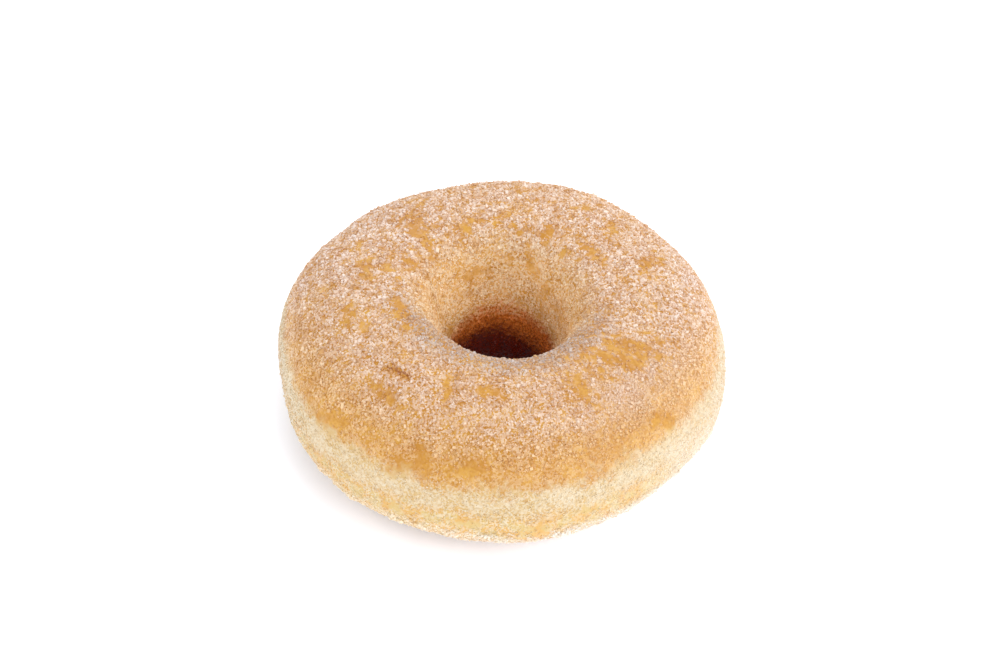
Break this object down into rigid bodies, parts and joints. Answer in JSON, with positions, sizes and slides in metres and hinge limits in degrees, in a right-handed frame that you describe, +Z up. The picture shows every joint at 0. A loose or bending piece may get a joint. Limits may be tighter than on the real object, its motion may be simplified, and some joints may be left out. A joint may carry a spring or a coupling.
{
  "type": "sugared ring doughnut",
  "caption": "Round fried ring doughnut with domed faces, a pale waist band and a coat of coarse sugar.",
  "frame": {"origin": "middle of the doughnut's box, on the surface it rests on", "axes": "+Z up through the hole, +X to the right as seen from the front, +Y to the back"},
  "size_m": [0.089, 0.09, 0.0351],
  "materials": {
    "sugared_crust": "matt golden brown crust under a coat of coarse, off-white sugar"
  },
  "bodies": {
    "root": {"doughnut": "sugared_crust"}
  },
  "joints": []
}
